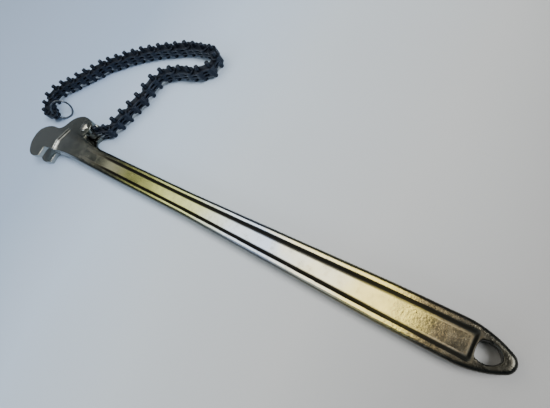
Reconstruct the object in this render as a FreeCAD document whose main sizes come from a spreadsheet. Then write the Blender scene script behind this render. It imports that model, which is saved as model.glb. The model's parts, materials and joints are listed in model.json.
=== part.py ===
"""Chain pipe wrench: a forged handle with a forked jaw, a shackle and a chain with long pins.

The wrench lies on its side.  +X runs along the handle from the hang hole to the jaw, +Y points to
the side of the hooks, +Z is up.  The origin is on the ground under the middle of the hang hole.
"""
import FreeCAD, Part
import math
import os

import Sketcher

SIZES = [
    ("head_thickness", 22.0, "jaw and anchor ears, from face to face"),
    ("web_thickness", 17.6, "neck web between the handle and the jaw"),
    ("handle_thickness", 15.0, "I-section handle, over its rims"),
    ("handle_half_end", 14.7, "half width of the handle near the hang hole"),
    ("handle_half_neck", 11.2, "half width of the handle from its middle to the neck"),
    ("taper_start", 64.0, "where the handle begins to narrow"),
    ("taper_end", 254.0, "where the handle stops narrowing"),
    ("handle_reach", 470.0, "where the handle bar ends inside the head"),
    ("end_centre", 19.0, "where the rounded end begins"),
    ("end_reach", 14.6, "tip of the handle, behind the hang hole's middle"),
    ("end_radius", 7.5, "rounding of the handle's tip"),
    ("handle_edge", 3.0, "rounding of the handle's outer edges"),
    ("panel_start", 8.0, "hang hole end of the sunk panel"),
    ("panel_end", 446.0, "neck end of the sunk panel"),
    ("panel_half_end", 9.4, "half width of the sunk panel near the hang hole"),
    ("panel_half_middle", 6.7, "half width of the sunk panel from the middle to the neck"),
    ("panel_depth", 3.0, "depth of the sunk panel"),
    ("panel_draft", 36.0, "lean of the sunk panel's walls, degrees"),
    ("hole_flat", 6.8, "corners of the hang hole's flat side, towards the jaw"),
    ("hole_bow", 0.5, "how far the flat side bows out"),
    ("hole_tip", 7.0, "rounded point of the hang hole, from the origin"),
    ("hole_half", 5.0, "half width of the hang hole at its flat side"),
    ("valley_place", 476.0, "valley between the two toothed lobes"),
    ("fork_gap", 11.0, "gap between the two claws and between the two ears"),
    ("tooth_spacing", 3.0, "teeth along the lobes"),
    ("tooth_depth", 1.1, "depth of the teeth"),
    ("anchor_place", 436.2, "anchor pin along the handle"),
    ("anchor_side", 25.7, "anchor pin, out from the handle's middle line"),
    ("anchor_radius", 3.5, "anchor pin shank"),
    ("anchor_head_radius", 5.6, "anchor pin head"),
    ("anchor_head_height", 1.8, "anchor pin head"),
    ("running_clearance", 0.08, "radial play of each hinge"),
    ("shackle_length", 15.1, "shackle, from anchor pin to first chain pin"),
    ("shackle_heading", 194.6, "direction of the shackle, degrees from +X"),
    ("shackle_eye_radius", 6.5, "shackle eye around the anchor pin"),
    ("chain_pitch", 12.7, "pin to pin"),
    ("pin_radius", 2.4, "chain pin"),
    ("pin_length", 22.0, "chain pin, as long as the head is thick"),
    ("pin_chamfer", 0.4, "chain pin ends"),
    ("eye_radius", 5.3, "rounded ends of the chain plates"),
    ("waist_half", 4.3, "half width of a chain plate at its waist"),
    ("outer_plate", 1.8, "thickness of the pinned links' plates"),
    ("inner_plate", 2.1, "thickness of the inner links' plates"),
    ("plate_play", 0.1, "play between neighbouring plates"),
    ("first_heading", 205.0, "direction of the first chain link, degrees from +X"),
    ("ring_hole_radius", 2.6, "hole for the ring in the last link"),
    ("ring_radius", 12.2, "split ring, to the middle of its wire"),
    ("ring_wire_radius", 1.0, "split ring wire"),
    ("ring_offset", 0.5, "split ring wire, sideways in its hole"),
    ("ring_heading", 230.0, "direction in which the split ring stands, degrees from +X"),
    ("ring_lean", 14.0, "lean of the split ring from upright, degrees"),
]

# How the chain lies: the turn at each pin from the second to the last but one, in degrees,
# counted anticlockwise.
CHAIN_TURNS = [
    40, 5, 0, 0, 15, -5, -25, -30, -10, -10, 10, 20, 55, 55, 35, 0, 5, 10,
    0, 0, 5, 0, 5, 0, 5, 0, 0, 15, -5, 0, 5, -10, 10, 30, 45, 15, 50,
]
LINK_COUNT = len(CHAIN_TURNS) + 1
FAR = 60.0

doc = FreeCAD.newDocument("pipe_wrench")
sheet = doc.addObject("Spreadsheet::Sheet", "Sizes")
for row, (alias, value, meaning) in enumerate(SIZES, start=1):
    sheet.set(f"A{row}", meaning)
    sheet.set(f"B{row}", str(value))
    sheet.setAlias(f"B{row}", alias)
doc.recompute()


def size(expression):
    """The value of an expression in the sheet's aliases."""
    result = sheet.evalExpression(expression)
    return float(getattr(result, "Value", result))


def bound(expression):
    """The same expression, as other objects of the document have to write it."""
    names = sorted((alias for alias, _, _ in SIZES), key=len, reverse=True)
    for number, alias in enumerate(names):
        expression = expression.replace(alias, f"<{number}>")
    for number, alias in enumerate(names):
        expression = expression.replace(f"<{number}>", f"Sizes.{alias}")
    return expression


def bind(thing, prop, expression):
    thing.setExpression(prop, bound(expression))


def new_body(name):
    body = doc.addObject("PartDesign::Body", name)
    body.Label = name
    return body


def new_sketch(body, name, height="0"):
    """A sketch parallel to the ground, at a height above it."""
    plane = next(f for f in body.Origin.OriginFeatures if f.Role == "XY_Plane")
    sketch = body.newObject("Sketcher::SketchObject", name)
    sketch.AttachmentSupport = [(plane, "")]
    sketch.MapMode = "FlatFace"
    bind(sketch, "AttachmentOffset.Base.z", height)
    return sketch


def lean_with_handle(sketch, height):
    """Moves a sketch onto the handle's own plane, which rises gently towards the head."""
    slope = "atan((head_thickness - handle_thickness) / 2 / handle_reach)"
    sketch.AttachmentOffset = FreeCAD.Placement(
        FreeCAD.Vector(0, 0, 0), FreeCAD.Rotation(FreeCAD.Vector(0, -1, 0), 1)
    )
    bind(sketch, "AttachmentOffset.Rotation.Angle", slope)
    lift = "end_reach * (head_thickness - handle_thickness) / 2 / handle_reach"
    bind(sketch, "AttachmentOffset.Base.z", f"{lift} + {height}")


def pin_point(sketch, geometry, position, x, y):
    """Holds a point of a sketch at expressions x and y."""
    for kind, text in (("DistanceX", x), ("DistanceY", y)):
        if abs(size(text)) < 1e-9:
            axis = -2 if kind == "DistanceX" else -1
            sketch.addConstraint(Sketcher.Constraint("PointOnObject", geometry, position, axis))
            continue
        number = sketch.addConstraint(
            Sketcher.Constraint(kind, -1, 1, geometry, position, size(text))
        )
        bind(sketch, f"Constraints[{number}]", text)


def draw_outline(sketch, corners):
    """A closed outline.  A corner is (x, y) after a straight side, or
    (x, y, via_x, via_y) after an arc through the via point.  All are expressions."""
    places = [(size(c[0]), size(c[1])) for c in corners]
    first = sketch.GeometryCount
    ends = []
    for number, corner in enumerate(corners):
        start = FreeCAD.Vector(*places[number - 1], 0)
        end = FreeCAD.Vector(*places[number], 0)
        if len(corner) == 2:
            sketch.addGeometry(Part.LineSegment(start, end), False)
            ends.append((1, 2))
            continue
        via = FreeCAD.Vector(size(corner[2]), size(corner[3]), 0)
        arc = Part.ArcOfCircle(start, via, end)
        anticlockwise = (via - start).cross(end - via).z > 0
        sketch.addGeometry(arc, False)
        ends.append((1, 2) if anticlockwise else (2, 1))
    for number in range(len(corners)):
        after = (number + 1) % len(corners)
        sketch.addConstraint(
            Sketcher.Constraint(
                "Coincident", first + number, ends[number][1], first + after, ends[after][0]
            )
        )
    for number, corner in enumerate(corners):
        pin_point(sketch, first + number, ends[number][1], corner[0], corner[1])
        if len(corner) == 4:
            via = Part.Point(FreeCAD.Vector(size(corner[2]), size(corner[3]), 0))
            point = sketch.addGeometry(via, True)
            sketch.addConstraint(
                Sketcher.Constraint("PointOnObject", point, 1, first + number)
            )
            pin_point(sketch, point, 1, corner[2], corner[3])


def draw_circle(sketch, x, y, radius):
    centre = FreeCAD.Vector(size(x), size(y), 0)
    circle = sketch.addGeometry(
        Part.Circle(centre, FreeCAD.Vector(0, 0, 1), size(radius)), False
    )
    pin_point(sketch, circle, 3, x, y)
    number = sketch.addConstraint(Sketcher.Constraint("Radius", circle, size(radius)))
    bind(sketch, f"Constraints[{number}]", radius)


def pad(body, sketch, length):
    feature = body.newObject("PartDesign::Pad", f"{sketch.Name}_pad")
    feature.Profile = sketch
    bind(feature, "Length", length)
    doc.recompute()
    return feature


def cut(body, sketch, depth, upwards=False, middle=False, draft=None):
    """A pocket, which has to remove something."""
    before = body.Shape.Volume
    feature = body.newObject("PartDesign::Pocket", f"{sketch.Name}_cut")
    feature.Profile = sketch
    feature.Reversed = upwards
    if middle:
        feature.SideType = "Symmetric"
    bind(feature, "Length", depth)
    if draft:
        bind(feature, "TaperAngle", draft)
    doc.recompute()
    if body.Shape.Volume > before - 1.0:
        raise RuntimeError(f"{feature.Name} cuts nothing")
    return feature


def round_edges(body, name, radius, wanted):
    """Fillets the edges of the body's last feature for which wanted(edge) is true."""
    tip = body.Tip
    names = [
        f"Edge{number}"
        for number, edge in enumerate(tip.Shape.Edges, start=1)
        if wanted(edge)
    ]
    feature = body.newObject("PartDesign::Fillet", name)
    feature.Base = (tip, names)
    bind(feature, "Radius", radius)
    doc.recompute()
    return feature


def handle_outline():
    """The bar: two tangent flanks and a round tip at its end, then the two long sides."""
    run = "(end_centre + end_reach - end_radius)"
    narrowing = "(handle_half_end - end_radius)"
    flank = f"(({run} ^ 2 + handle_half_end ^ 2 - end_radius ^ 2) / (2 * {narrowing}))"
    join_x = f"end_radius - end_reach - end_radius * {run} / ({flank} - end_radius)"
    join_y = f"end_radius * ({flank} - handle_half_end) / ({flank} - end_radius)"
    middle_x = f"end_centre - {run} / 2"
    middle_y = f"(handle_half_end - {flank} + sqrt({flank} ^ 2 - ({run} / 2) ^ 2))"
    return [
        ("end_centre", "-handle_half_end", middle_x, f"-{middle_y}"),
        ("taper_start", "-handle_half_end"),
        ("taper_end", "-handle_half_neck"),
        ("handle_reach", "-handle_half_neck"),
        ("handle_reach", "handle_half_neck"),
        ("taper_end", "handle_half_neck"),
        ("taper_start", "handle_half_end"),
        ("end_centre", "handle_half_end"),
        (join_x, join_y, middle_x, middle_y),
        (join_x, f"-({join_y})", "-end_reach", "0"),
    ]


def panel_outline():
    return [
        ("panel_start", "-panel_half_end"),
        ("taper_start", "-panel_half_end"),
        ("taper_end", "-panel_half_middle"),
        ("panel_end", "-panel_half_middle"),
        ("panel_end", "panel_half_middle"),
        ("taper_end", "panel_half_middle"),
        ("taper_start", "panel_half_end"),
        ("panel_start", "panel_half_end"),
    ]


def head_point(x, y):
    """A point of the head, from the valley along the handle and from its middle line."""
    return (f"valley_place + {x}", f"{y}")


def head_corner(x, y, via=None):
    return head_point(x, y) + (head_point(*via) if via else ())


def web_outline():
    return [
        head_corner(-84, -8),
        head_corner(-52, -14),
        head_corner(-38, -30),
        head_corner(-16, -24),
        head_corner(4, -8),
        head_corner(8, 10),
        head_corner(-8, 13),
        head_corner(-28, 10),
        head_corner(-84, 8),
    ]


def jaw_outline():
    """Ears, second lobe, valley, first lobe, claw and hook seat, then back along the step."""
    return [
        head_corner(-39.8, -36.2, via=(-49.3, -29.5)),
        head_corner(-8, -22, via=(-20, -34.2)),
        head_corner(4, -12.4, via=(-3, -15.2)),
        head_corner(31, -4, via=(20, -10.4)),
        head_corner(30.5, 23, via=(36, 9.5)),
        head_corner(13, 29.6, via=(23, 29.2)),
        head_corner(6, 27),
        head_corner(6, 17.5),
        head_corner(2.5, 13.8, via=(5, 14.7)),
        head_corner(-10, 13),
        head_corner(-8, 1),
        head_corner(-16, -17),
        head_corner(-30, -15),
        head_corner(-46, -15),
        head_corner(-48.5, -20.5),
    ]


def claw_gap_outline():
    return [
        head_corner(1, FAR),
        head_corner(1, 9),
        head_corner(11, -1),
        head_corner(24, -FAR),
        head_corner(FAR, -FAR),
        head_corner(FAR, FAR),
    ]


def ear_gap_outline():
    return [
        head_corner(-31.5, -16.5),
        head_corner(-31.5, -FAR),
        head_corner(-70, -FAR),
        head_corner(-70, -11.5),
        head_corner(-50, -11.5),
        head_corner(-44, -16.5),
    ]


def tooth_places():
    """Points on the two lobes with the outward direction at each: (x, y, angle)."""
    lobes = [
        ((-39.8, -36.2), (-20, -34.2), (-8, -22), 0.25, 0.97),
        ((4, -12.4), (20, -10.4), (31, -4), 0.12, 0.95),
    ]
    places = []
    for start, via, end, first, last in lobes:
        ends = [FreeCAD.Vector(size("valley_place") + x, y, 0) for x, y in (start, via, end)]
        arc = Part.ArcOfCircle(*ends)
        centre = arc.Center
        steps = int(arc.length() * (last - first) / size("tooth_spacing"))
        for step in range(steps + 1):
            share = first + (last - first) * step / steps
            spot = arc.value(arc.FirstParameter + share * (arc.LastParameter - arc.FirstParameter))
            outward = spot - centre
            places.append((spot.x, spot.y, math.atan2(outward.y, outward.x)))
    return places


def draw_teeth(sketch):
    """Sharp notches across the lobes."""
    depth = size("tooth_depth")
    half = size("tooth_spacing") / 2
    for x, y, angle in tooth_places():
        out = FreeCAD.Vector(math.cos(angle), math.sin(angle), 0)
        along = FreeCAD.Vector(-out.y, out.x, 0)
        spot = FreeCAD.Vector(x, y, 0)
        mouth = spot + out * depth
        corners = [spot - out * depth, mouth + along * half, mouth - along * half]
        for number in range(3):
            sketch.addGeometry(Part.LineSegment(corners[number - 1], corners[number]), False)


def build_handle():
    body = new_body("forged_handle")
    bar = new_sketch(body, "bar_outline")
    lean_with_handle(bar, "0")
    draw_outline(bar, handle_outline())
    pad(body, bar, "handle_thickness")
    neck_end = size("handle_reach") - 1
    round_edges(
        body,
        "bar_edges",
        "handle_edge",
        lambda edge: edge.BoundBox.ZLength < size("handle_thickness") / 2
        and edge.BoundBox.XMin < neck_end,
    )
    for name, height, upwards in (("top", "handle_thickness", False), ("under", "0", True)):
        panel = new_sketch(body, f"{name}_panel")
        lean_with_handle(panel, height)
        draw_outline(panel, panel_outline())
        cut(body, panel, "panel_depth", upwards=upwards, draft="-panel_draft")
    hang = new_sketch(body, "hang_hole", "handle_thickness + 1")
    draw_outline(
        hang,
        [
            ("hole_flat", "hole_half", "hole_flat + hole_bow", "0"),
            ("-hole_tip", "0", "-hole_tip * 0.4", "hole_half"),
            ("hole_flat", "-hole_half", "-hole_tip * 0.4", "-hole_half"),
        ],
    )
    cut(body, hang, "handle_thickness * 2")
    web = new_sketch(body, "neck_web", "(head_thickness - web_thickness) / 2")
    draw_outline(web, web_outline())
    pad(body, web, "web_thickness")
    jaw = new_sketch(body, "jaw_outline")
    draw_outline(jaw, jaw_outline())
    pad(body, jaw, "head_thickness")
    claws = new_sketch(body, "claw_gap", "head_thickness / 2")
    draw_outline(claws, claw_gap_outline())
    cut(body, claws, "fork_gap", middle=True)
    ears = new_sketch(body, "ear_gap", "head_thickness / 2")
    draw_outline(ears, ear_gap_outline())
    cut(body, ears, "fork_gap", middle=True)
    bore = new_sketch(body, "anchor_bore", "head_thickness + 1")
    draw_circle(bore, "anchor_place", "-anchor_side", "anchor_radius")
    cut(body, bore, "head_thickness * 2")
    teeth = new_sketch(body, "lobe_teeth", "head_thickness + 1")
    draw_teeth(teeth)
    cut(body, teeth, "head_thickness * 2")
    return body


def build_anchor_pin():
    """A turned pin: shank through both ears, low domed head on the upper one."""
    shank = doc.addObject("Part::Cylinder", "anchor_shank")
    bind(shank, "Radius", "anchor_radius")
    bind(shank, "Height", "head_thickness")
    dome = doc.addObject("Part::Ellipsoid", "anchor_dome")
    bind(dome, "Radius1", "anchor_head_height")
    bind(dome, "Radius2", "anchor_head_radius")
    dome.Angle1 = 0
    bind(dome, "Placement.Base.z", "head_thickness")
    pin = doc.addObject("Part::Fuse", "anchor_pin")
    pin.Base = shank
    pin.Tool = dome
    pin.Label = "anchor_pin"
    bind(pin, "Placement.Base.x", "anchor_place")
    bind(pin, "Placement.Base.y", "-anchor_side")
    return pin


def plate_outline(length, first_radius):
    """A figure of eight from an eye at the origin to a chain eye at the given distance."""
    return [
        (length, "eye_radius", f"{length} / 2", "waist_half"),
        (length, "-eye_radius", f"{length} + eye_radius", "0"),
        ("0", f"-{first_radius}", f"{length} / 2", "-waist_half"),
        ("0", first_radius, f"-{first_radius}", "0"),
    ]


def build_plate(name, base, thickness, first_hole, second_hole):
    """One chain plate, its first eye at the origin, lying at a height."""
    body = new_body(name)
    outline = new_sketch(body, f"{name}_outline", base)
    draw_outline(outline, plate_outline("chain_pitch", "eye_radius"))
    pad(body, outline, thickness)
    holes = new_sketch(body, f"{name}_holes", f"{base} + {thickness} + 1")
    draw_circle(holes, "0", "0", first_hole)
    draw_circle(holes, "chain_pitch", "0", second_hole)
    cut(body, holes, f"{thickness} + 2")
    return body


def build_pin(name, along):
    """One chain pin, standing on the ground at a distance along its link."""
    cylinder = doc.addObject("Part::Cylinder", f"{name}_blank")
    bind(cylinder, "Radius", "pin_radius")
    bind(cylinder, "Height", "pin_length")
    bind(cylinder, "Placement.Base.x", along)
    doc.recompute()
    pin = doc.addObject("Part::Chamfer", name)
    pin.Base = cylinder
    chamfer = size("pin_chamfer")
    pin.Edges = [
        (number, chamfer, chamfer)
        for number, edge in enumerate(cylinder.Shape.Edges, start=1)
        if edge.BoundBox.ZLength < chamfer
    ]
    return pin


STACK = "(outer_plate * 3 + inner_plate * 2 + plate_play * 4)"
STACK_BASE = f"(pin_length - {STACK}) / 2"
LOW_INNER = f"{STACK_BASE} + outer_plate + plate_play"
MIDDLE = f"{STACK_BASE} + outer_plate + inner_plate + plate_play * 2"
HIGH_INNER = f"{MIDDLE} + outer_plate + plate_play"
TOP_OUTER = f"{HIGH_INNER} + inner_plate + plate_play"


def build_shackle():
    """An eye on the anchor pin with two tongues that take the first chain pin."""
    body = new_body("shackle")
    eye = new_sketch(body, "shackle_eye", STACK_BASE)
    draw_circle(eye, "0", "0", "shackle_eye_radius")
    pad(body, eye, STACK)
    for name, base in (("low_tongue", LOW_INNER), ("high_tongue", HIGH_INNER)):
        tongue = new_sketch(body, name, base)
        draw_outline(tongue, plate_outline("shackle_length", "eye_radius"))
        pad(body, tongue, "inner_plate")
    bores = new_sketch(body, "shackle_bores", "head_thickness")
    draw_circle(bores, "0", "0", "anchor_radius + running_clearance")
    draw_circle(bores, "shackle_length", "0", "pin_radius + running_clearance")
    cut(body, bores, "head_thickness")
    bind(body, "Placement.Base.x", "anchor_place")
    bind(body, "Placement.Base.y", "-anchor_side")
    bind(body, "Placement.Rotation.Angle", "shackle_heading")
    return body


def chain_places():
    """Each link's first pin and heading, then the place of the last eye."""
    heading = math.radians(size("shackle_heading"))
    reach = size("shackle_length")
    x = size("anchor_place") + reach * math.cos(heading)
    y = -size("anchor_side") + reach * math.sin(heading)
    direction = size("first_heading")
    places = []
    for turn in [0] + CHAIN_TURNS:
        direction += turn
        places.append((x, y, direction))
        x += size("chain_pitch") * math.cos(math.radians(direction))
        y += size("chain_pitch") * math.sin(math.radians(direction))
    return places, (x, y)


def place_link(name, pieces, place):
    """A link: its pieces as separate solids, moved to where the link lies."""
    link = doc.addObject("Part::Compound", name)
    link.Label = name
    link.Links = pieces
    x, y, direction = place
    link.Placement = FreeCAD.Placement(
        FreeCAD.Vector(x, y, 0), FreeCAD.Rotation(FreeCAD.Vector(0, 0, 1), direction)
    )
    return link


def build_chain():
    """Pinned links and inner links in turn; the last link takes the ring in place of a pin."""
    pressed, running, ringed = "pin_radius", "pin_radius + running_clearance", "ring_hole_radius"
    pinned = [build_pin("near_pin", "0"), build_pin("far_pin", "chain_pitch")]
    for level, base in (("low", STACK_BASE), ("middle", MIDDLE), ("top", TOP_OUTER)):
        pinned.append(build_plate(f"{level}_outer_plate", base, "outer_plate", pressed, pressed))
    inner, last = [], []
    for level, base in (("low", LOW_INNER), ("high", HIGH_INNER)):
        inner.append(build_plate(f"{level}_inner_plate", base, "inner_plate", running, running))
        last.append(build_plate(f"{level}_end_plate", base, "inner_plate", running, ringed))
    places, _ = chain_places()
    links = []
    for number, place in enumerate(places, start=1):
        if number == LINK_COUNT:
            links.append(place_link("chain_end_link", last, place))
        elif number % 2:
            links.append(place_link(f"chain_pin_link_{number:02d}", pinned, place))
        else:
            links.append(place_link(f"chain_inner_link_{number:02d}", inner, place))
    return links


def build_ring():
    """The ring stands on edge in the last link's hole, leaning a little."""
    ring = doc.addObject("Part::Torus", "split_ring")
    ring.Label = "split_ring"
    bind(ring, "Radius1", "ring_radius")
    bind(ring, "Radius2", "ring_wire_radius")
    _, (x, y) = chain_places()
    heading = size("ring_heading")
    reach = size("ring_radius - ring_offset")
    centre = FreeCAD.Vector(
        x + reach * math.cos(math.radians(heading)),
        y + reach * math.sin(math.radians(heading)),
        size("ring_radius * cos(ring_lean * 1 deg) + ring_wire_radius"),
    )
    upright = FreeCAD.Rotation(FreeCAD.Vector(1, 0, 0), 90 - size("ring_lean"))
    turned = FreeCAD.Rotation(FreeCAD.Vector(0, 0, 1), heading)
    ring.Placement = FreeCAD.Placement(centre, turned.multiply(upright))
    return ring


sub_parts = [build_handle(), build_anchor_pin(), build_shackle(), *build_chain(), build_ring()]
doc.recompute()

for thing in doc.Objects:
    if "Invalid" in thing.State or "Error" in thing.State:
        raise RuntimeError(f"{thing.Label} failed: {thing.State}")
for part in sub_parts:
    if part.Shape.isNull() or not part.Shape.isValid():
        raise RuntimeError(f"{part.Label} has no valid shape")

os.makedirs("parts", exist_ok=True)
for part in sub_parts:
    part.Shape.exportStep(os.path.join("parts", f"{part.Label}.step"))
    print(part.Label, len(part.Shape.Solids), round(part.Shape.Volume, 1))
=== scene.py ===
"""Looks for the chain pipe wrench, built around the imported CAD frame.  All lengths are in metres.

The forging, the anchor pin, the shackle, every chain link and the split ring each get a finished
mesh that rides on its own CAD body and stands for its CAD node.
"""

import json
import math

import bmesh
import bpy
from mathutils import Matrix, Vector, noise

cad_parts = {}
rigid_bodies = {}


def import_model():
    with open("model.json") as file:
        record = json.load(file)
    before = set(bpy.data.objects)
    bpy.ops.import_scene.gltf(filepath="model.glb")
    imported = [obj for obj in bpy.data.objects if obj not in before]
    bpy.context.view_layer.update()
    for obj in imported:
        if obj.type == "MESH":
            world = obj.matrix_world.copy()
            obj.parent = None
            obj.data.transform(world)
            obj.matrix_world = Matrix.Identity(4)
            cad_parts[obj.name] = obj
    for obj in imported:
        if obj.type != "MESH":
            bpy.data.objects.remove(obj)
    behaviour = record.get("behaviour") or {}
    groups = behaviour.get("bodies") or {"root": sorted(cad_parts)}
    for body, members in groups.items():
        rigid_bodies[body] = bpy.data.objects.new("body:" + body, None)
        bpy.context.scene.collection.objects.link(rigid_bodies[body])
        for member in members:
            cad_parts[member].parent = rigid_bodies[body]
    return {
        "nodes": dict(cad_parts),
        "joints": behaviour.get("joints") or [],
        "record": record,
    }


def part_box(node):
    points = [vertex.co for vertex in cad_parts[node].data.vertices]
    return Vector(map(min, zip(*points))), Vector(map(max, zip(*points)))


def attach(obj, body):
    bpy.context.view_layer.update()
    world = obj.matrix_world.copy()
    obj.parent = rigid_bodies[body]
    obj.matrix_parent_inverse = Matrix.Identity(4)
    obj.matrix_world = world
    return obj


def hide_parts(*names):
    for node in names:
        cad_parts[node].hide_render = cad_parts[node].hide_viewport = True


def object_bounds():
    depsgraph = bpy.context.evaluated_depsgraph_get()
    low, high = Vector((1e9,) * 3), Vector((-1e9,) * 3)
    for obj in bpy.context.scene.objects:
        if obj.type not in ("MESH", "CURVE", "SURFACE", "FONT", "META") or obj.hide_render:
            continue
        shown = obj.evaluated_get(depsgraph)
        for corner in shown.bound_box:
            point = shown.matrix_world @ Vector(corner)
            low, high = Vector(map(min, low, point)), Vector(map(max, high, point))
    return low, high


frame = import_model()
cad_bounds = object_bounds()

MM = 0.001
SCENE = bpy.context.scene
JOINTS = {joint["child"]: joint for joint in frame["joints"]}

# The handle, as the CAD model has it.  It tilts a little, so its top face lies
# RIM_HEIGHT + RIM_SLOPE * x above MIDDLE, the middle plane of the head.
MIDDLE = 11.0 * MM
RIM_HEIGHT = 4.11 * MM
RIM_SLOPE = 0.00745
TAPER_START = 64.0 * MM
TAPER_END = 254.0 * MM
PANEL_START = 8.0 * MM
PANEL_HALF_END = 9.4 * MM
PANEL_HALF_MIDDLE = 6.7 * MM


# ---------------------------------------------------------------- view

CAMERA_PLACE = Vector((14.0, 19.5, 280.8)) * MM
CAMERA_RIGHT = Vector((-0.794, -0.472, -0.383))
CAMERA_FORWARD = Vector((0.505, -0.162, -0.848))
LENS_MM = 25.53
SENSOR_MM = 36.0
CLIP_START = 0.01
CLIP_END = 20.0


def add_camera():
    """A phone's wide view from above the hang hole, towards the jaw."""
    data = bpy.data.cameras.new("camera")
    data.lens = LENS_MM
    data.sensor_width = SENSOR_MM
    data.clip_start = CLIP_START
    data.clip_end = CLIP_END
    camera = bpy.data.objects.new("camera", data)
    back = -CAMERA_FORWARD.normalized()
    up = back.cross(CAMERA_RIGHT).normalized()
    right = up.cross(back)
    turn = Matrix((right, up, back)).transposed()
    camera.matrix_world = Matrix.Translation(CAMERA_PLACE) @ turn.to_4x4()
    SCENE.collection.objects.link(camera)
    SCENE.camera = camera


def add_area_light(name, place, target, width, height, watts, colour):
    """A rectangular lamp that faces its target."""
    data = bpy.data.lights.new(name, "AREA")
    data.shape = "RECTANGLE"
    data.size = width
    data.size_y = height
    data.energy = watts
    data.color = colour
    light = bpy.data.objects.new(name, data)
    light.location = place
    aim = Vector(target) - Vector(place)
    light.rotation_euler = aim.to_track_quat("-Z", "Y").to_euler()
    SCENE.collection.objects.link(light)


WORLD_COLOUR = (0.50, 0.60, 0.72, 1)
WORLD_STRENGTH = 0.22


def add_lights():
    """A lamp high behind the view lights the board; a long dim softbox ahead shows in the plating."""
    add_area_light("key_lamp", place=(-0.62, -0.28, 1.20), target=(0.20, -0.02, 0),
                   width=0.55, height=0.55, watts=32.0, colour=(0.97, 0.985, 1.0))
    add_area_light("long_softbox", place=(0.80, -0.10, 1.15), target=(0.65, -0.10, 0),
                   width=0.90, height=1.25, watts=10.5, colour=(1.0, 0.965, 0.87))
    add_area_light("cool_fill", place=(1.0, 1.6, 1.3), target=(0.35, 0, 0),
                   width=1.4, height=1.0, watts=12.0, colour=(0.78, 0.88, 1.0))
    world = bpy.data.worlds.new("studio")
    world.use_nodes = True
    background = world.node_tree.nodes["Background"]
    background.inputs["Color"].default_value = WORLD_COLOUR
    background.inputs["Strength"].default_value = WORLD_STRENGTH
    SCENE.world = world


# ---------------------------------------------------------------- materials

# A Mix node has sockets for numbers, vectors and colours.  These are its share and colours.
MIX_SHARE = 0
MIX_FIRST = 6
MIX_SECOND = 7
MIX_RESULT = 2


class Shader:
    """A node material whose surface is one Principled shader."""

    def __init__(self, name, metallic):
        self.material = bpy.data.materials.new(name)
        self.material.use_nodes = True
        self.tree = self.material.node_tree
        self.surface = self.tree.nodes["Principled BSDF"]
        self.surface.inputs["Metallic"].default_value = metallic
        self.coordinates = self.node("ShaderNodeTexCoord").outputs["Object"]

    def node(self, kind, **settings):
        node = self.tree.nodes.new(kind)
        for name, value in settings.items():
            setattr(node, name, value)
        return node

    def link(self, source, target):
        self.tree.links.new(source, target)

    def fill(self, node, values):
        """Sets a node's inputs: a plain value is stored, and a socket is linked."""
        for name, value in values.items():
            if isinstance(value, bpy.types.NodeSocket):
                self.link(value, node.inputs[name])
            else:
                node.inputs[name].default_value = value

    def split(self, vector):
        """The X, Y and Z outputs of a vector."""
        node = self.node("ShaderNodeSeparateXYZ")
        self.link(vector, node.inputs[0])
        return node.outputs

    def noise(self, cycles_per_metre, detail=3.0, roughness=0.55):
        node = self.node("ShaderNodeTexNoise")
        self.fill(node, {"Vector": self.coordinates, "Scale": cycles_per_metre,
                         "Detail": detail, "Roughness": roughness})
        return node.outputs["Fac"]

    def range(self, value, low, high, to_low=0.0, to_high=1.0):
        """to_low where the value is low, to_high where it is high; low may be the larger one."""
        node = self.node("ShaderNodeMapRange", clamp=True)
        self.fill(node, {"Value": value, "From Min": low, "From Max": high,
                         "To Min": to_low, "To Max": to_high})
        return node.outputs["Result"]

    def math(self, operation, first, second=0.0):
        node = self.node("ShaderNodeMath", operation=operation)
        self.fill(node, {0: first, 1: second})
        return node.outputs[0]

    def product(self, first, *others):
        for other in others:
            first = self.math("MULTIPLY", first, other)
        return first

    def blend(self, share, first, second):
        """Colour first where share is 0, colour second where it is 1."""
        node = self.node("ShaderNodeMix", data_type="RGBA")
        self.fill(node, {MIX_SHARE: share, MIX_FIRST: first, MIX_SECOND: second})
        return node.outputs[MIX_RESULT]

    def ramp(self, value, stops):
        """A colour ramp through (place, colour) stops."""
        node = self.node("ShaderNodeValToRGB")
        elements = node.color_ramp.elements
        while len(elements) < len(stops):
            elements.new(0.5)
        for element, (place, colour) in zip(elements, stops):
            element.position = place
            element.color = (*colour, 1)
        self.link(value, node.inputs["Fac"])
        return node.outputs["Color"]

    def bump(self, height, distance, below=None):
        """A bumped normal, laid over the normal below it."""
        node = self.node("ShaderNodeBump")
        self.fill(node, {"Height": height, "Distance": distance, "Strength": 1.0})
        if below is not None:
            self.link(below, node.inputs["Normal"])
        return node.outputs["Normal"]

    def finish(self, colour, roughness, normal):
        self.fill(self.surface, {"Base Color": colour, "Roughness": roughness, "Normal": normal})
        return self.material


# The plating's tint along the handle, partly painted reflection: its bright and dark bands
# stand in for what the metal mirrors.  Each stop is a share of the way from X = 0 to
# PLATING_END, and the colour there.
PLATING_END = 500 * MM
PLATING_AND_REFLECTION = [
    (0.00, (0.12, 0.105, 0.075)), (0.05, (0.27, 0.21, 0.11)), (0.10, (0.90, 0.73, 0.18)),
    (0.19, (0.85, 0.72, 0.27)), (0.25, (0.74, 0.70, 0.50)), (0.32, (0.44, 0.52, 0.68)),
    (0.40, (0.47, 0.54, 0.62)), (0.48, (0.42, 0.45, 0.21)), (0.58, (0.36, 0.38, 0.13)),
    (0.65, (0.28, 0.29, 0.10)), (0.72, (0.13, 0.135, 0.08)), (0.77, (0.13, 0.135, 0.11)),
    (0.84, (0.21, 0.22, 0.20)), (0.90, (0.34, 0.35, 0.33)), (1.00, (0.42, 0.43, 0.40)),
]
STAIN = (0.24, 0.21, 0.14, 1)
SPECKLE = (0.12, 0.09, 0.055, 1)
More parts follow.
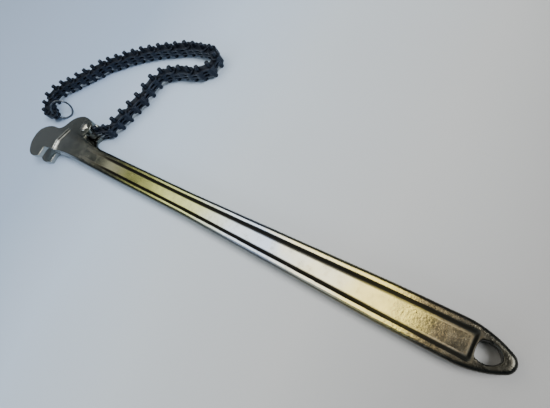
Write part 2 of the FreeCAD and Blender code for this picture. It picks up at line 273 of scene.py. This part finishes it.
# Painted shade: the near-black colour towards the hang-hole end.
TIP_SHADE = (0.020, 0.019, 0.015, 1)
# Painted shade: the dark colour laid on the steep flanks.
FLANK_SHADE = (0.048, 0.049, 0.042, 1)
# Painted shade: the dark colour in the corners at the foot of the sunk panel's walls.
GROOVE_SHADE = (0.022, 0.019, 0.014, 1)
TIP_SHADE_SHARE = 0.94
GROOVE_SHADE_SHARE = 0.92
END_GROOVE_SHADE_SHARE = 0.7
TIP_START = 18 * MM
TIP_FULL = 2 * MM

# The head starts here, and with it a more even sheen.
HEAD_START = 410 * MM
HEAD_FULL = 450 * MM

# The panel's painted groove shade is wider on the chain's side than on the claws' side.
CHAIN_SIDE = -4 * MM
CLAW_SIDE = 4 * MM
REACH_START = 150 * MM
REACH_END = 260 * MM

# A face is flat where the height of its normal is over FLAT, and a full flank below STEEP.
FLAT = 0.996
STEEP = 0.90

# Bump heights, and how much rougher the grime is.
PEBBLE_BUMP = 0.11 * MM
FINE_BUMP = 0.006 * MM
TIP_DULLNESS = 0.15
GRIME_ROUGHNESS = 0.35


def plating_tint_and_reflection(shader, along, sideways):
    """The plating's colour with painted reflection, in soft bands that drift and that lag along the
    chain's side.
    """
    clouds = shader.noise(16.0, 3.0)
    drift = shader.range(clouds, 0.3, 0.7, -20 * MM, 20 * MM)
    lag = shader.range(sideways, -7 * MM, -10 * MM, 0.0, -20 * MM)
    place = shader.math("ADD", shader.math("ADD", along, drift), lag)
    return shader.ramp(shader.range(place, 0.0, PLATING_END), PLATING_AND_REFLECTION)


def weathered(shader, tint_and_reflection, along, mottle):
    """Stains along the handle, faint on the head, and brown specks that gather at the hang hole."""
    stains = shader.range(mottle, 0.52, 0.72)
    stain_share = shader.range(along, 400 * MM, 360 * MM, 0.06, 0.30)
    stained = shader.blend(shader.product(stains, stain_share), tint_and_reflection, STAIN)
    specks = shader.range(shader.noise(620.0, 3.0, 0.7), 0.50, 0.62)
    speck_share = shader.range(along, 60 * MM, 30 * MM, 0.06, 0.75)
    return shader.blend(shader.product(specks, speck_share), stained, SPECKLE)


def panel_groove_shade(shader, along, sideways):
    """Where shade is painted: 1 in the corner at the foot of the sunk panel's walls, 0 elsewhere."""
    wall = shader.range(along, TAPER_START, TAPER_END, PANEL_HALF_END, PANEL_HALF_MIDDLE)
    inside = shader.math("SUBTRACT", wall, shader.math("ABSOLUTE", sideways))
    within = shader.range(inside, -0.3 * MM, 0.2 * MM)
    chain_reach = shader.range(along, REACH_START, REACH_END, 3.9 * MM, 2.9 * MM)
    claw_reach = shader.range(along, REACH_START, REACH_END, 3.3 * MM, 2.6 * MM)
    reach = shader.range(sideways, CHAIN_SIDE, CLAW_SIDE, chain_reach, claw_reach)
    foot = shader.range(inside, shader.math("ADD", reach, 0.4 * MM),
                        shader.math("SUBTRACT", reach, 0.8 * MM))
    past_end = shader.math("SUBTRACT", along, PANEL_START)
    sides = shader.product(within, foot, shader.range(past_end, -0.4 * MM, 0.4 * MM),
                           shader.range(along, 425 * MM, 375 * MM))
    end = shader.product(shader.range(past_end, -2.0 * MM, -1.0 * MM),
                         shader.range(past_end, 3.4 * MM, 1.4 * MM),
                         shader.product(within, END_GROOVE_SHADE_SHARE))
    return shader.math("MAXIMUM", sides, end)


def forging_material():
    """Thin warm plating over forged steel, with painted reflection and shade: bright on the long
    faces, dull and dark at both ends.
    """
    shader = Shader("plated_forging", 1.0)
    along, sideways, _ = shader.split(shader.coordinates)
    facing = shader.split(shader.node("ShaderNodeNewGeometry").outputs["Normal"])
    level = shader.math("ABSOLUTE", facing["Z"])
    mottle = shader.noise(150.0, 4.0, 0.6)

    # Partly painted reflection: the plating's bright and dark bands along the handle.
    tint_and_reflection = plating_tint_and_reflection(shader, along, sideways)
    speckled = weathered(shader, tint_and_reflection, along, mottle)
    # Painted shade: the colour darkens almost to black towards the hang-hole end, which also dims the
    # lamp's reflection there.
    tip = shader.range(along, TIP_START, TIP_FULL)
    tip_shaded = shader.blend(shader.product(tip, TIP_SHADE_SHARE), speckled, TIP_SHADE)
    # Painted shade: steep flanks are darkened to near black, strongly along the handle and faintly on
    # the head.
    flank = shader.range(level, FLAT, STEEP)
    flank_shade_share = shader.range(along, 375 * MM, HEAD_START, 0.90, 0.15)
    flank_shaded = shader.blend(shader.product(flank, flank_shade_share), tip_shaded, FLANK_SHADE)
    # Painted shade: the corners at the foot of the sunk panel's walls are darkened, weaker near the
    # hang hole and there mostly on the chain's side.
    groove_shade = panel_groove_shade(shader, along, sideways)
    tip_end_groove_shade_share = shader.range(sideways, CHAIN_SIDE, CLAW_SIDE, 0.35, 0.05)
    groove_shade_share = shader.range(along, 10 * MM, 90 * MM, tip_end_groove_shade_share, GROOVE_SHADE_SHARE)
    colour = shader.blend(shader.product(groove_shade, groove_shade_share), flank_shaded, GROOVE_SHADE)

    pebble_share = shader.range(along, 85 * MM, 30 * MM, 0.10, 1.0)
    pebbles = shader.product(shader.noise(760.0, 1.0), pebble_share)
    surface = shader.bump(pebbles, PEBBLE_BUMP)
    surface = shader.bump(shader.noise(1500.0, 2.0), FINE_BUMP, surface)

    glossiest = shader.range(along, HEAD_START, HEAD_FULL, 0.17, 0.22)
    dullest = shader.range(along, HEAD_START, HEAD_FULL, 0.30, 0.25)
    sheen = shader.range(mottle, 0.3, 0.75, glossiest, dullest)
    grime = shader.math("MAXIMUM", groove_shade, shader.product(tip, TIP_DULLNESS))
    roughness = shader.math("ADD", sheen, shader.product(grime, GRIME_ROUGHNESS))
    return shader.finish(colour, roughness, surface)


def steel_material(name, cloud_scale, dark, light, scuff_scale, scuff_detail, roughness, bump):
    """Bare or thinly plated steel: clouds between two greys, and scuffs in its sheen."""
    shader = Shader(name, 1.0)
    clouds = shader.noise(cloud_scale, 3.0)
    colour = shader.ramp(clouds, [(0.3, dark), (0.7, light)])
    scuffs = shader.noise(scuff_scale, scuff_detail)
    sheen = shader.range(scuffs, 0.3, 0.7, *roughness)
    return shader.finish(colour, sheen, shader.bump(scuffs, bump))


def shackle_material():
    """Satin grey steel."""
    return steel_material(
        "satin_shackle", cloud_scale=140.0, dark=(0.26, 0.27, 0.27), light=(0.42, 0.43, 0.43),
        scuff_scale=800.0, scuff_detail=3.0, roughness=(0.38, 0.56), bump=0.04 * MM)


def pin_material():
    """Turned steel under the same warm plating as the forging, without its tints."""
    return steel_material(
        "plated_pin", cloud_scale=120.0, dark=(0.40, 0.39, 0.34), light=(0.56, 0.55, 0.50),
        scuff_scale=700.0, scuff_detail=3.0, roughness=(0.18, 0.34), bump=0.04 * MM)


def ring_material():
    """Blue-grey spring wire, drawn smooth."""
    return steel_material(
        "spring_wire", cloud_scale=260.0, dark=(0.11, 0.125, 0.15), light=(0.18, 0.20, 0.23),
        scuff_scale=1200.0, scuff_detail=2.0, roughness=(0.22, 0.38), bump=0.03 * MM)


CHAIN_STEEL = [
    (0.30, (0.012, 0.017, 0.027)), (0.55, (0.022, 0.030, 0.045)), (0.80, (0.045, 0.052, 0.066)),
]
CHAIN_VARIANT = (0.020, 0.018, 0.024, 1)
CHAIN_GRIME = (0.075, 0.070, 0.070, 1)


def chain_material():
    """Blued steel: dark blue-black plates with an oily sheen, each link a little different."""
    shader = Shader("blued_chain", 0.85)
    link = shader.node("ShaderNodeObjectInfo").outputs["Random"]
    clouds = shader.noise(180.0, 4.0, 0.6)
    base = shader.ramp(clouds, CHAIN_STEEL)
    varied = shader.blend(shader.range(link, 0.0, 1.0, 0.0, 0.35), base, CHAIN_VARIANT)
    grime = shader.noise(900.0, 3.0)
    colour = shader.blend(shader.range(grime, 0.60, 0.75, 0.0, 0.5), varied, CHAIN_GRIME)
    roughness = shader.range(clouds, 0.3, 0.8, 0.28, 0.50)
    return shader.finish(colour, roughness, shader.bump(grime, 0.05 * MM))


# The board's tint along X, with painted shade that darkens it on the hang hole's side and a little at
# the far end: the share of the way from BOARD_START to BOARD_END, and the colour.
BOARD_START = -100 * MM
BOARD_END = 500 * MM
BOARD_TINT_AND_SHADE = [
    (0.00, (0.20, 0.195, 0.185)), (0.17, (0.26, 0.255, 0.245)), (0.33, (0.39, 0.395, 0.39)),
    (0.55, (0.45, 0.50, 0.54)), (0.75, (0.44, 0.54, 0.66)), (1.00, (0.33, 0.43, 0.59)),
]


def floor_material():
    """Matt board with painted shade: a dark warm grey on the hang hole's side, a pale blue towards
    the head.
    """
    shader = Shader("floor_board", 0.0)
    clouds = shader.noise(2.2, 2.0)
    drift = shader.range(clouds, 0.3, 0.7, -30 * MM, 30 * MM)
    along = shader.math("ADD", shader.split(shader.coordinates)["X"], drift)
    colour = shader.ramp(shader.range(along, BOARD_START, BOARD_END), BOARD_TINT_AND_SHADE)
    grain = shader.noise(900.0, 2.0)
    roughness = shader.range(grain, 0.3, 0.7, 0.58, 0.68)
    return shader.finish(colour, roughness, shader.bump(grain, 0.03 * MM))


# ---------------------------------------------------------------- meshes

SMOOTH_FACTOR = 0.5
EDGE_PASSES = 3


def object_from(name, mesh, material):
    """A new object in the scene that wears one material."""
    thing = bpy.data.objects.new(name, mesh)
    SCENE.collection.objects.link(thing)
    thing.data.materials.clear()
    thing.data.materials.append(material)
    return thing


def smooth_faces(mesh):
    for polygon in mesh.polygons:
        polygon.use_smooth = True


def bake(thing):
    """Applies the object's modifiers to its mesh."""
    bpy.context.view_layer.update()
    graph = bpy.context.evaluated_depsgraph_get()
    mesh = bpy.data.meshes.new_from_object(thing.evaluated_get(graph))
    thing.modifiers.clear()
    thing.data = mesh


def add_smoothing(thing, passes):
    soften = thing.modifiers.new("soften", "SMOOTH")
    soften.factor = SMOOTH_FACTOR
    soften.iterations = passes
    return soften


def softened(node, name, material, voxel):
    """A CAD node's shape as a forging: edges and inner corners rounded by a few voxels."""
    mesh = frame["nodes"][node].data.copy()
    thing = object_from(name, mesh, material)
    remesh = thing.modifiers.new("remesh", "REMESH")
    remesh.mode = "VOXEL"
    remesh.voxel_size = voxel
    add_smoothing(thing, EDGE_PASSES)
    bake(thing)
    smooth_faces(thing.data)
    return thing


def mesh_from(shape, name):
    """The bmesh as a mesh, with its normals outwards."""
    bmesh.ops.recalc_face_normals(shape, faces=shape.faces)
    mesh = bpy.data.meshes.new(name)
    shape.to_mesh(mesh)
    shape.free()
    return mesh


def lathed(name, profile, steps):
    """A mesh turned about Z from (radius, height) points that start and end on the axis."""
    shape = bmesh.new()
    rings = []
    angles = [math.tau * step / steps for step in range(steps)]
    for radius, height in profile:
        if radius == 0:
            rings.append([shape.verts.new((0, 0, height))])
            continue
        rings.append([
            shape.verts.new((radius * math.cos(angle), radius * math.sin(angle), height))
            for angle in angles
        ])
    for lower, upper in zip(rings, rings[1:]):
        for step in range(steps):
            after = (step + 1) % steps
            corners = [lower[step % len(lower)], lower[after % len(lower)],
                       upper[after % len(upper)], upper[step % len(upper)]]
            shape.faces.new(list(dict.fromkeys(corners)))
    mesh = mesh_from(shape, name)
    smooth_faces(mesh)
    return mesh


# ---------------------------------------------------------------- chain

PITCH = 12.7 * MM
PIN_RADIUS = 2.4 * MM
EYE_RADIUS = 5.3 * MM
WAIST_HALF = 4.3 * MM
OUTER_PLATE = 1.8 * MM
INNER_PLATE = 2.1 * MM
LAYERS = (OUTER_PLATE, INNER_PLATE, OUTER_PLATE, INNER_PLATE, OUTER_PLATE)
PLATE_PLAY = 0.1 * MM
RUNNING_CLEARANCE = 0.08 * MM
RING_HOLE = 2.6 * MM
PLATE_EDGE = 0.28 * MM
PIN_CHAMFER = 0.35 * MM
PIN_DOME = 0.12 * MM
MARK_RADIUS = 0.55 * MM
MARK_DEPTH = 0.25 * MM
MARK_WALL = 0.12 * MM
MARK_EDGE = 0.04 * MM
MERGE_DISTANCE = 0.005 * MM
SHARP_EDGE = math.radians(40)
PIN_STEPS = 28
ARC_STEPS = 18
EDGE_STEPS = 2


def circle_points(x, radius, steps):
    angles = [math.tau * step / steps for step in range(steps)]
    return [(x + radius * math.cos(angle), radius * math.sin(angle)) for angle in angles]


def arc_through(start, via, end, steps):
    """Points on the circle through three points, from start to end without the end itself."""
    (ax, ay), (bx, by), (cx, cy) = start, via, end
    area = 2 * (ax * (by - cy) + bx * (cy - ay) + cx * (ay - by))
    a2 = ax * ax + ay * ay
    b2 = bx * bx + by * by
    c2 = cx * cx + cy * cy
    x = (a2 * (by - cy) + b2 * (cy - ay) + c2 * (ay - by)) / area
    y = (a2 * (cx - bx) + b2 * (ax - cx) + c2 * (bx - ax)) / area
    radius = math.hypot(ax - x, ay - y)
    first = math.atan2(ay - y, ax - x)
    turn = math.atan2(cy - y, cx - x) - first
    anticlockwise = (bx - ax) * (cy - by) - (by - ay) * (cx - bx) > 0
    turn = turn % math.tau if anticlockwise else -(-turn % math.tau)
    angles = [first + turn * step / steps for step in range(steps)]
    return [(x + radius * math.cos(angle), y + radius * math.sin(angle)) for angle in angles]


def plate_outline():
    """A waisted outline round the eyes at 0 and one pitch."""
    right_top = (PITCH, EYE_RADIUS)
    right_low = (PITCH, -EYE_RADIUS)
    left_top = (0, EYE_RADIUS)
    left_low = (0, -EYE_RADIUS)
    outline = arc_through(right_top, (PITCH + EYE_RADIUS, 0), right_low, ARC_STEPS)
    outline += arc_through(right_low, (PITCH / 2, -WAIST_HALF), left_low, ARC_STEPS // 2)
    outline += arc_through(left_low, (-EYE_RADIUS, 0), left_top, ARC_STEPS)
    outline += arc_through(left_top, (PITCH / 2, WAIST_HALF), right_top, ARC_STEPS // 2)
    return outline


def add_spline(curve, points):
    """A closed line through the points."""
    spline = curve.splines.new("POLY")
    spline.points.add(len(points) - 1)
    for point, (x, y) in zip(spline.points, points):
        point.co = (x, y, 0, 1)
    spline.use_cyclic_u = True


def plate_mesh(first_hole, second_hole, thickness, base):
    """One stamped plate with rounded edges, its underside at the base height."""
    curve = bpy.data.curves.new("plate", "CURVE")
    curve.dimensions = "2D"
    curve.fill_mode = "BOTH"
    curve.extrude = thickness / 2 - PLATE_EDGE
    curve.bevel_depth = PLATE_EDGE
    curve.bevel_resolution = EDGE_STEPS
    curve.offset = -PLATE_EDGE
    add_spline(curve, plate_outline())
    add_spline(curve, circle_points(0, first_hole, PIN_STEPS))
    add_spline(curve, circle_points(PITCH, second_hole, PIN_STEPS))
    holder = bpy.data.objects.new("plate", curve)
    mesh = bpy.data.meshes.new_from_object(holder)
    bpy.data.objects.remove(holder)
    bpy.data.curves.remove(curve)
    mesh.transform(Matrix.Translation((0, 0, base + thickness / 2)))
    return mesh


def pin_profile(length):
    """A riveted pin: a small centre mark, a shallow dome and a short chamfer at each end."""
    lower_end = [
        (0, PIN_DOME + MARK_DEPTH), (MARK_RADIUS * 0.6, PIN_DOME + MARK_WALL),
        (MARK_RADIUS, MARK_EDGE), (PIN_RADIUS * 0.45, 0.0), (PIN_RADIUS * 0.7, PIN_DOME * 0.5),
        (PIN_RADIUS - PIN_CHAMFER, PIN_DOME),
        (PIN_RADIUS - PIN_CHAMFER * 0.35, PIN_DOME + PIN_CHAMFER * 0.3),
        (PIN_RADIUS, PIN_DOME + PIN_CHAMFER),
    ]
    upper_end = [(radius, length - height) for radius, height in reversed(lower_end)]
    return lower_end + upper_end


def joined(name, meshes):
    """The meshes as one, with double points merged."""
    shape = bmesh.new()
    for mesh in meshes:
        shape.from_mesh(mesh)
    bmesh.ops.remove_doubles(shape, verts=shape.verts, dist=MERGE_DISTANCE)
    return mesh_from(shape, name)


def moved(mesh, x):
    """A copy of the mesh, moved along X."""
    copy = mesh.copy()
    copy.transform(Matrix.Translation((x, 0, 0)))
    return copy


def pin_length():
    """The length of a chain pin, which is also the thickness of the head."""
    low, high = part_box("chain_pin_link_01")
    return high.z - low.z


def plate_levels(length):
    """The heights of the plate layers, centred on pins of this length."""
    stack = sum(LAYERS) + (len(LAYERS) - 1) * PLATE_PLAY
    height = (length - stack) / 2
    levels = []
    for thickness in LAYERS:
        levels.append(height)
        height += thickness + PLATE_PLAY
    return levels


def link_meshes():
    """The three kinds of link, each from its first pin at the origin along +X."""
    length = pin_length()
    levels = plate_levels(length)
    pin = lathed("chain_pin", pin_profile(length), PIN_STEPS)
    running = PIN_RADIUS + RUNNING_CLEARANCE
    outer = [plate_mesh(PIN_RADIUS, PIN_RADIUS, OUTER_PLATE, base) for base in levels[0::2]]
    inner = [plate_mesh(running, running, INNER_PLATE, base) for base in levels[1::2]]
    last = [plate_mesh(running, RING_HOLE, INNER_PLATE, base) for base in levels[1::2]]
    return {
        "chain_pin": joined("pinned_link", [pin, moved(pin, PITCH), *outer]),
        "chain_inner": joined("inner_link", inner),
        "chain_end": joined("end_link", last),
    }


def add_chain(material):
    """Every link, placed from its own hinge towards the next one."""
    meshes = link_meshes()
    for body, joint in JOINTS.items():
        node = frame["record"]["behaviour"]["bodies"][body][0]
        kind = "_".join(node.split("_")[:2])
        if kind not in meshes:
            continue
        after = next(other for other in frame["joints"] if other["parent"] == body)
        start = Vector((*joint["pos_m"][:2], 0))
        ahead = Vector((*after["pos_m"][:2], 0)) - start
        heading = Matrix.Rotation(math.atan2(ahead.y, ahead.x), 4, "Z")
        mesh = meshes[kind].copy()
        mesh.transform(Matrix.Translation(start) @ heading)
        link = object_from(f"{node}_steel", mesh, material)
        edges = link.modifiers.new("edges", "EDGE_SPLIT")
        edges.split_angle = SHARP_EDGE
        smooth_faces(link.data)
        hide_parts(node)
        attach(link, body)


# ---------------------------------------------------------------- forging

# Where the panels run out into the neck, and what lies too deep to be a panel.
FADE_START = 340.0 * MM
FADE_END = 396.0 * MM
PANEL_DEEPEST = 3.0 * MM

# Where the neck's web rises out of the handle, and how far out towards the chain (-Y) the ears
# keep their full height.
WEB_START = 388.0 * MM
WEB_FULL = 450.0 * MM
EAR_START = 8 * MM
EAR_FULL = 13 * MM

# Where the forging is smoothed further: each pair goes from no smoothing to full smoothing.
LOOP_END = (9.5 * MM, 7.0 * MM)
PANEL_END_NEAR = (5 * MM, 8 * MM)
PANEL_END_FAR = (16 * MM, 12 * MM)
NECK_NEAR = (370 * MM, 395 * MM)
NECK_FAR = (466 * MM, 452 * MM)
PANEL_WIDTH = (10.5 * MM, 8.5 * MM)
LOOP_SHARE = 0.25

# The forging's own unevenness: waves and pebbles per metre, their depths and their stretches.
WAVES = 55.0
WAVE_DEPTH = 0.10 * MM
CALM_START = 400.0 * MM
CALM_SHARE = 0.6
PEBBLES = 620.0
PEBBLE_DEPTH = 0.045 * MM
PEBBLE_START = 80 * MM
PEBBLE_FULL = 35 * MM

FORGING_VOXEL = 0.55 * MM
SHACKLE_VOXEL = 0.35 * MM
RELAX_PASSES = 24


def step_share(value, low, high):
    """0 below low, 1 above high, smooth between them; low may be the larger number."""
    share = min(1.0, max(0.0, (value - low) / (high - low)))
    return share * share * (3 - 2 * share)


def top_rim(x):
    """How far the handle's top face lies above the middle plane."""
    return RIM_HEIGHT + RIM_SLOPE * x


def fade_panel(mesh):
    """Lets the sunk panels run out into the neck: fully on the top face, in part underneath."""
    for vertex in mesh.vertices:
        x, y, z = vertex.co
        height = abs(z - MIDDLE)
        rim = top_rim(x)
        if x < FADE_START or abs(y) > PANEL_HALF_MIDDLE or not PANEL_DEEPEST <= height <= rim:
            continue
        height += (rim - height) * step_share(x, FADE_START, FADE_END)
        vertex.co.z = MIDDLE + math.copysign(height, z - MIDDLE)


def fade_web(mesh):
    """Lets the neck's raised web rise gently out of the handle's top face.

    The underside follows the top's slope too.  It lies deeper there, so its rims step by
    about 0.9 mm at WEB_START.
    """
    for vertex in mesh.vertices:
        x, y, z = vertex.co
        height = abs(z - MIDDLE)
        rim = top_rim(x)
        if not WEB_START < x < WEB_FULL or height < rim:
            continue
        share = max(step_share(x, WEB_START, WEB_FULL), step_share(-y, EAR_START, EAR_FULL))
        height = rim + (height - rim) * share
        vertex.co.z = MIDDLE + math.copysign(height, z - MIDDLE)


def relax(thing, share_at, passes):
    """Smooths part of a mesh: share_at gives how much at each point, from 0 to 1."""
    group = thing.vertex_groups.new(name="relax")
    for vertex in thing.data.vertices:
        share = share_at(vertex.co)
        if share > 0:
            group.add([vertex.index], share, "REPLACE")
    add_smoothing(thing, passes).vertex_group = group.name
    bake(thing)
    thing.vertex_groups.clear()


def end_and_neck(point):
    """The rounded loop round the hang hole, the panels' ends, and their run-out at the neck."""
    loop = LOOP_SHARE * step_share(point.x, *LOOP_END)
    panel_end = min(step_share(point.x, *PANEL_END_FAR), step_share(point.x, *PANEL_END_NEAR))
    neck = min(step_share(point.x, *NECK_NEAR), step_share(point.x, *NECK_FAR))
    inner = step_share(abs(point.y), *PANEL_WIDTH)
    return max(loop, max(neck, panel_end) * inner)


def roughen(mesh):
    """Sinks the skin by a forging's long waves, and by small pebbles towards the hang hole."""
    normals = [vertex.normal.copy() for vertex in mesh.vertices]
    for vertex, normal in zip(mesh.vertices, normals):
        x = vertex.co.x
        wave = noise.noise(vertex.co * WAVES) - 1
        sink = WAVE_DEPTH * wave * (1 - CALM_SHARE * step_share(x, CALM_START, WEB_FULL))
        pebbly = step_share(x, PEBBLE_START, PEBBLE_FULL)
        if pebbly > 0:
            sink += PEBBLE_DEPTH * pebbly * (noise.noise(vertex.co * PEBBLES) - 1)
        vertex.co += normal * sink


def add_forging(material):
    """The handle and jaw, one forging."""
    forging = softened("forged_handle", "handle_forging", material, FORGING_VOXEL)
    fade_panel(forging.data)
    fade_web(forging.data)
    relax(forging, end_and_neck, RELAX_PASSES)
    roughen(forging.data)
    smooth_faces(forging.data)
    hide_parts("forged_handle")
    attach(forging, "handle")


# ---------------------------------------------------------------- shackle and anchor pin

SHANK_RADIUS = 3.5 * MM
SHANK_INSET = 0.3 * MM
SHANK_SHOULDER = 0.9 * MM
DOME_DEGREES = range(20, 91, 10)
RIM_ROLL = 0.75
TOP_ROLL = 0.9
RIVET_STEPS = 48


def add_shackle(material):
    """The forged eye and tongues between the anchor pin and the chain's first pin."""
    shackle = softened("shackle", "shackle_forging", material, SHACKLE_VOXEL)
    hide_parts("shackle")
    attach(shackle, "shackle")


def add_anchor_pin(material):
    """Shank, then a low head with a rolled rim and a flattened top."""
    low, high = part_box("anchor_pin")
    x, y, _ = JOINTS["shackle"]["pos_m"]
    head = (high.x - low.x) / 2
    face = low.z + pin_length()
    rise = high.z - face
    profile = [
        (0, low.z + SHANK_INSET), (SHANK_RADIUS * 0.8, low.z + SHANK_INSET),
        (SHANK_RADIUS, low.z + SHANK_SHOULDER), (SHANK_RADIUS, face),
        (head * 0.94, face), (head, face + rise * 0.12),
    ]
    for degrees in DOME_DEGREES:
        angle = math.radians(degrees)
        radius = head * math.cos(angle) ** RIM_ROLL
        height = face + rise * math.sin(angle) ** TOP_ROLL
        profile.append((radius, height))
    profile.append((0, high.z))
    pin = object_from("anchor_pin_rivet", lathed("anchor_rivet", profile, RIVET_STEPS), material)
    pin.location = (x, y, 0)
    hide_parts("anchor_pin")
    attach(pin, "handle")


# ---------------------------------------------------------------- ring

RING_RADIUS = 12.2 * MM
RING_WIRE = 1.0 * MM
RING_TURNS = 2
RING_STEPS = 72
RING_START = math.radians(110)
WIRE_STEPS = 14
WIRE_SQUARENESS = 0.7
TAPER_LEAST = 0.35
TAPER_RATE = 12


def squared(value):
    """A sine or cosine pushed outwards, so that a circle turns into a rounded square."""
    return math.copysign(abs(value) ** WIRE_SQUARENESS, value)


def wound_wire(centre, outward, up):
    """Flat wire wound in the plane of the two directions, its two ends tapered."""
    axis = outward.cross(up)
    shape = bmesh.new()
    loops = []
    count = RING_STEPS * RING_TURNS
    for step in range(count + 1):
        share = step / count
        angle = math.tau * RING_TURNS * share + RING_START
        spoke = math.cos(angle) * outward + math.sin(angle) * up
        place = centre + RING_RADIUS * spoke + axis * (share - 0.5) * RING_WIRE
        taper = min(1.0, TAPER_LEAST + TAPER_RATE * min(share, 1 - share))
        loop = []
        for turn in range(WIRE_STEPS):
            around = math.tau * turn / WIRE_STEPS
            wide = RING_WIRE * squared(math.cos(around))
            deep = RING_WIRE / 2 * squared(math.sin(around))
            loop.append(shape.verts.new(place + taper * (wide * spoke + deep * axis)))
        loops.append(loop)
    for loop, after in zip(loops, loops[1:]):
        for turn in range(WIRE_STEPS):
            beside = (turn + 1) % WIRE_STEPS
            shape.faces.new([loop[turn], loop[beside], after[beside], after[turn]])
    shape.faces.new(loops[0])
    shape.faces.new(loops[-1])
    mesh = mesh_from(shape, "ring_coil")
    smooth_faces(mesh)
    return mesh


def add_ring(material):
    """A split ring that hangs from the last link and leans to the height of its CAD solid."""
    low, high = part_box("split_ring")
    centre = (low + high) / 2
    eye = Vector((*JOINTS["ring"]["pos_m"][:2], centre.z))
    outward = Vector((centre.x - eye.x, centre.y - eye.y, 0)).normalized()
    lean = math.acos(min(1.0, (high.z - low.z - 2 * RING_WIRE) / 2 / RING_RADIUS))
    side = Vector((outward.y, -outward.x, 0))
    up = Vector((0, 0, 1)) * math.cos(lean) - side * math.sin(lean)
    ring = object_from("split_ring_wire", wound_wire(centre, outward, up), material)
    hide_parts("split_ring")
    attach(ring, "ring")


# ---------------------------------------------------------------- floor

FLOOR_HALF = 3.0


def add_floor(material):
    """A flat board under the lowest point of the CAD model."""
    shape = bmesh.new()
    bmesh.ops.create_grid(shape, x_segments=1, y_segments=1, size=FLOOR_HALF)
    mesh = bpy.data.meshes.new("floor")
    shape.to_mesh(mesh)
    shape.free()
    floor = object_from("floor", mesh, material)
    floor.location.z = cad_bounds[0][2]


add_camera()
add_lights()
add_floor(floor_material())
add_forging(forging_material())
add_anchor_pin(pin_material())
add_shackle(shackle_material())
add_chain(chain_material())
add_ring(ring_material())
